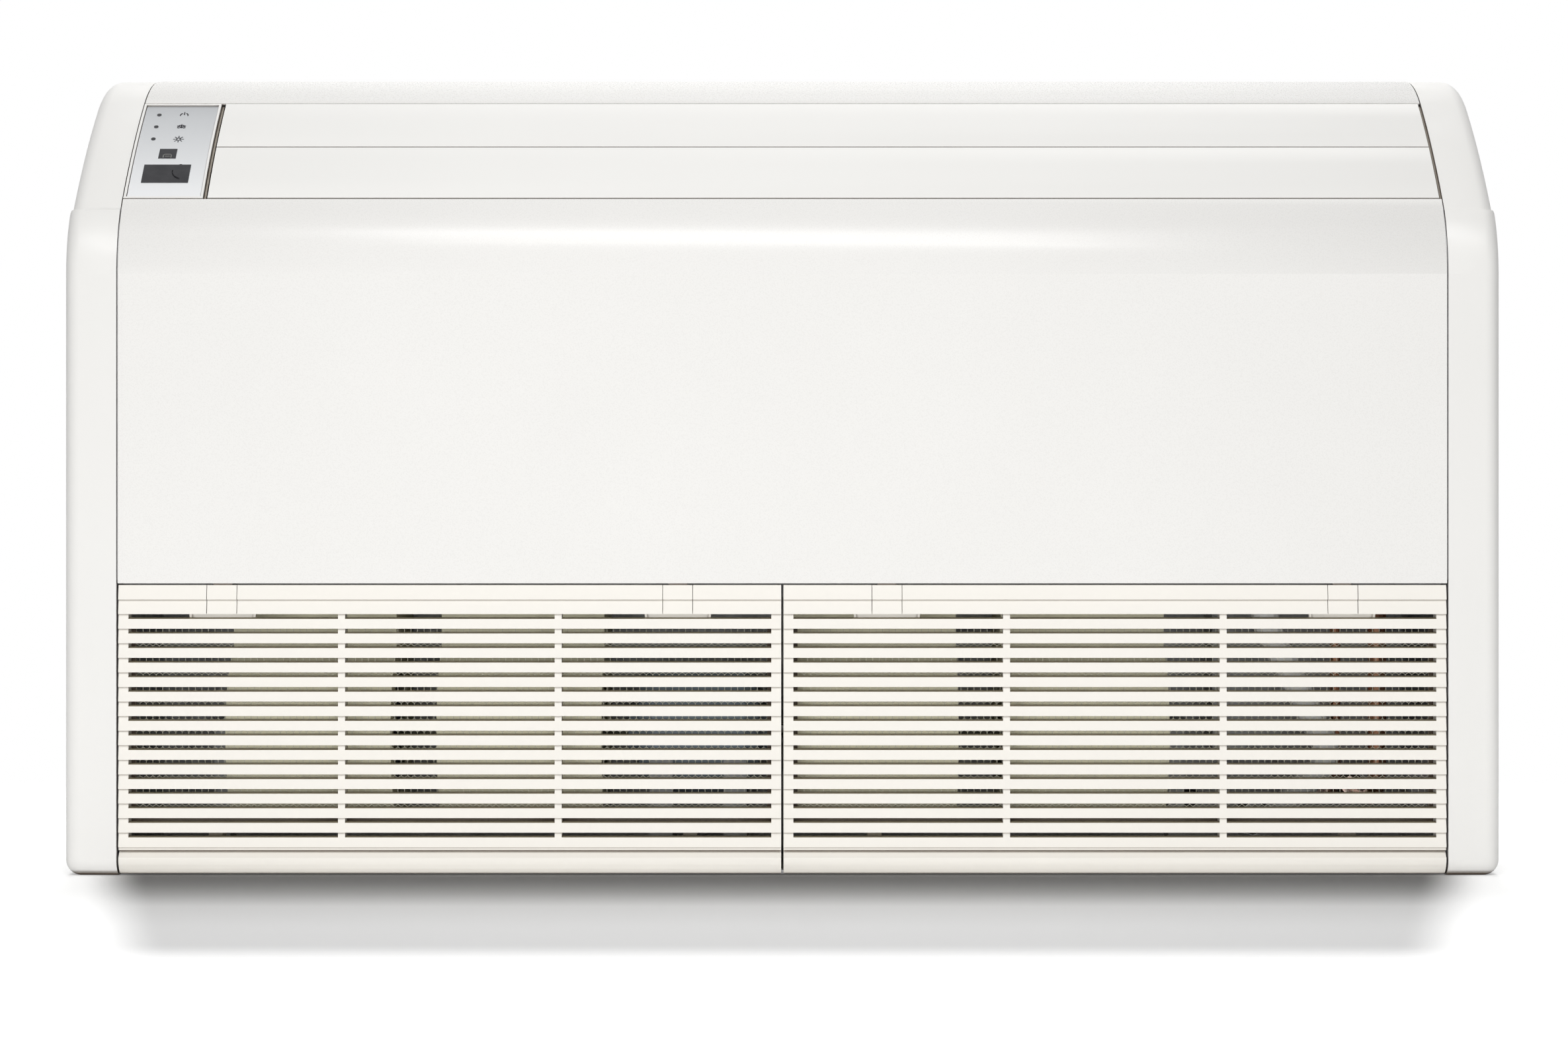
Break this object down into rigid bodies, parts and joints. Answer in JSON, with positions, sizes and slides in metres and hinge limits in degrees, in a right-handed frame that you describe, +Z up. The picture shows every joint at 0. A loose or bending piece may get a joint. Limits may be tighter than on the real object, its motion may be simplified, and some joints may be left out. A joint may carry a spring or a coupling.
{
  "type": "floor console air conditioner",
  "caption": "Wide low air conditioner console with a bowed louvred outlet, a display at one end, hinged intake grilles with sliding latches, and blower wheels inside.",
  "frame": {"origin": "middle of the footprint, on the floor", "axes": "+X to the right seen from the front, +Y from the front to the wall behind, +Z up"},
  "size_m": [1.22, 0.225, 0.7],
  "materials": {
    "panel_white": "smooth white moulded casing plastic with a soft gloss",
    "cap_white": "smooth white moulded casing plastic with a soft gloss",
    "grille_white": "warm white moulded plastic, satin",
    "louvre_white": "white moulded plastic, satin gloss",
    "inner_plastic": "off-white moulded plastic, matt",
    "silver": "silver-painted plastic plate, satin metallic",
    "dark_lens": "smoked clear plastic, glossy",
    "board_green": "circuit board",
    "steel_sheet": "galvanised steel sheet",
    "shaft_steel": "bright ground steel",
    "motor_grey": "grey painted motor housing",
    "scroll_cream": "cream moulded plastic, matt",
    "wheel_grey": "dark grey moulded plastic, matt",
    "fin_aluminium": "thin aluminium fins",
    "copper": "bright drawn copper tube",
    "pan_foam": "white moulded tray",
    "hose_white": "white flexible hose",
    "net_dark": "dark moulded net",
    "rubber_black": "black rubber"
  },
  "bodies": {
    "cabinet": {"back_panel": "steel_sheet", "base_panel": "steel_sheet", "cable_grommet": "rubber_black", "casing_screws": "shaft_steel", "coil_bends": "copper", "coil_end_plates": "steel_sheet", "coil_fins": "fin_aluminium", "control_box": "steel_sheet", "control_box_cover": "steel_sheet", "display_bezel": "cap_white", "display_board": "board_green", "display_lenses": "dark_lens", "display_plate": "silver", "drain_hose": "hose_white", "drain_pan": "pan_foam", "fan_deck": "steel_sheet", "fan_motor": "motor_grey", "front_panel": "panel_white", "gas_pipe": "copper", "grille_hinges": "inner_plastic", "left_end_cap": "cap_white", "left_scrolls": "scroll_cream", "left_side_plate": "steel_sheet", "liquid_pipe": "copper", "louvre_motor": "shaft_steel", "motor_cradle": "steel_sheet", "outlet_cheeks": "inner_plastic", "outlet_floor": "inner_plastic", "outlet_roof": "inner_plastic", "right_end_cap": "cap_white", "right_scrolls": "scroll_cream", "right_side_plate": "steel_sheet", "shaft_bearings": "steel_sheet", "top_panel": "panel_white"},
    "left_door": {"left_grille": "grille_white", "left_filter_frame": "inner_plastic", "left_filter_net": "net_dark"},
    "left_inner_latch": {"left_inner_latch": "grille_white"},
    "left_outer_latch": {"left_outer_latch": "grille_white"},
    "right_door": {"right_grille": "grille_white", "right_filter_frame": "inner_plastic", "right_filter_net": "net_dark"},
    "right_inner_latch": {"right_inner_latch": "grille_white"},
    "right_outer_latch": {"right_outer_latch": "grille_white"},
    "lower_louvre": {"lower_louvre": "louvre_white"},
    "upper_louvre": {"upper_louvre": "louvre_white"},
    "louvre_crank": {"louvre_crank": "inner_plastic"},
    "louvre_link": {"louvre_link": "inner_plastic"},
    "vane_rod": {"vane_rod": "wheel_grey"},
    "guide_vane_1": {"guide_vane_1": "wheel_grey"},
    "guide_vane_2": {"guide_vane_2": "wheel_grey"},
    "guide_vane_3": {"guide_vane_3": "wheel_grey"},
    "guide_vane_4": {"guide_vane_4": "wheel_grey"},
    "guide_vane_5": {"guide_vane_5": "wheel_grey"},
    "guide_vane_6": {"guide_vane_6": "wheel_grey"},
    "guide_vane_7": {"guide_vane_7": "wheel_grey"},
    "guide_vane_8": {"guide_vane_8": "wheel_grey"},
    "fan": {"fan_shaft": "shaft_steel", "left_wheels": "wheel_grey", "right_wheels": "wheel_grey"}
  },
  "joints": [
    {"name": "fan_spin", "type": "hinge", "parent": "cabinet", "child": "fan", "pos_m": [0, 0.008, 0.118], "axis": [1, 0, 0], "continuous": true},
    {"name": "louvre_drive", "type": "hinge", "parent": "cabinet", "child": "louvre_crank", "pos_m": [0, -0.01698, 0.60252], "axis": [-1, 0, 0], "range_deg": [0, 75]},
    {"name": "lower_louvre_swing", "type": "hinge", "parent": "cabinet", "child": "lower_louvre", "pos_m": [0, -0.05834, 0.59684], "axis": [-1, 0, 0], "range_deg": [0, 75]},
    {"name": "upper_louvre_swing", "type": "hinge", "parent": "cabinet", "child": "upper_louvre", "pos_m": [0, -0.00831, 0.64336], "axis": [-1, 0, 0], "range_deg": [0, 75]},
    {"name": "louvre_link_pivot", "type": "hinge", "parent": "louvre_crank", "child": "louvre_link", "pos_m": [0, -0.00561, 0.5987], "axis": [-1, 0, 0], "range_deg": [-75, 0]},
    {"name": "guide_vane_1_swing", "type": "hinge", "parent": "cabinet", "child": "guide_vane_1", "pos_m": [-0.42766, 0.00519, 0.57867], "axis": [0, 0.7324, 0.6809], "range_deg": [-35, 35]},
    {"name": "guide_vane_2_swing", "type": "hinge", "parent": "cabinet", "child": "guide_vane_2", "pos_m": [-0.29557, 0.00519, 0.57867], "axis": [0, 0.7324, 0.6809], "range_deg": [-35, 35]},
    {"name": "guide_vane_3_swing", "type": "hinge", "parent": "cabinet", "child": "guide_vane_3", "pos_m": [-0.16348, 0.00519, 0.57867], "axis": [0, 0.7324, 0.6809], "range_deg": [-35, 35]},
    {"name": "guide_vane_4_swing", "type": "hinge", "parent": "cabinet", "child": "guide_vane_4", "pos_m": [-0.03139, 0.00519, 0.57867], "axis": [0, 0.7324, 0.6809], "range_deg": [-35, 35]},
    {"name": "guide_vane_5_swing", "type": "hinge", "parent": "cabinet", "child": "guide_vane_5", "pos_m": [0.10069, 0.00519, 0.57867], "axis": [0, 0.7324, 0.6809], "range_deg": [-35, 35]},
    {"name": "guide_vane_6_swing", "type": "hinge", "parent": "cabinet", "child": "guide_vane_6", "pos_m": [0.23278, 0.00519, 0.57867], "axis": [0, 0.7324, 0.6809], "range_deg": [-35, 35]},
    {"name": "guide_vane_7_swing", "type": "hinge", "parent": "cabinet", "child": "guide_vane_7", "pos_m": [0.36487, 0.00519, 0.57867], "axis": [0, 0.7324, 0.6809], "range_deg": [-35, 35]},
    {"name": "guide_vane_8_swing", "type": "hinge", "parent": "cabinet", "child": "guide_vane_8", "pos_m": [0.49696, 0.00519, 0.57867], "axis": [0, 0.7324, 0.6809], "range_deg": [-35, 35]},
    {"name": "vane_rod_pivot", "type": "hinge", "parent": "guide_vane_5", "child": "vane_rod", "pos_m": [0.10069, 0.0229, 0.55963], "axis": [0, 0.7324, 0.6809], "range_deg": [-35, 35]},
    {"name": "left_door_hinge", "type": "hinge", "parent": "cabinet", "child": "left_door", "pos_m": [0, -0.0965, 0.02462], "axis": [1, 0, 0], "range_deg": [0, 80]},
    {"name": "left_inner_latch_slide", "type": "slide", "parent": "left_door", "child": "left_inner_latch", "axis": [0, 0, -1], "range_m": [0, 0.004]},
    {"name": "left_outer_latch_slide", "type": "slide", "parent": "left_door", "child": "left_outer_latch", "axis": [0, 0, -1], "range_m": [0, 0.004]},
    {"name": "right_door_hinge", "type": "hinge", "parent": "cabinet", "child": "right_door", "pos_m": [0, -0.0965, 0.02462], "axis": [1, 0, 0], "range_deg": [0, 80]},
    {"name": "right_inner_latch_slide", "type": "slide", "parent": "right_door", "child": "right_inner_latch", "axis": [0, 0, -1], "range_m": [0, 0.004]},
    {"name": "right_outer_latch_slide", "type": "slide", "parent": "right_door", "child": "right_outer_latch", "axis": [0, 0, -1], "range_m": [0, 0.004]}
  ],
  "couplings": [
    {"joint": "lower_louvre_swing", "follows": "louvre_drive", "ratio": 1},
    {"joint": "upper_louvre_swing", "follows": "louvre_drive", "ratio": 1},
    {"joint": "louvre_link_pivot", "follows": "louvre_drive", "ratio": -1},
    {"joint": "guide_vane_1_swing", "follows": "guide_vane_5_swing", "ratio": 1},
    {"joint": "guide_vane_2_swing", "follows": "guide_vane_5_swing", "ratio": 1},
    {"joint": "guide_vane_3_swing", "follows": "guide_vane_5_swing", "ratio": 1},
    {"joint": "guide_vane_4_swing", "follows": "guide_vane_5_swing", "ratio": 1},
    {"joint": "guide_vane_6_swing", "follows": "guide_vane_5_swing", "ratio": 1},
    {"joint": "guide_vane_7_swing", "follows": "guide_vane_5_swing", "ratio": 1},
    {"joint": "guide_vane_8_swing", "follows": "guide_vane_5_swing", "ratio": 1},
    {"joint": "vane_rod_pivot", "follows": "guide_vane_5_swing", "ratio": -1}
  ]
}
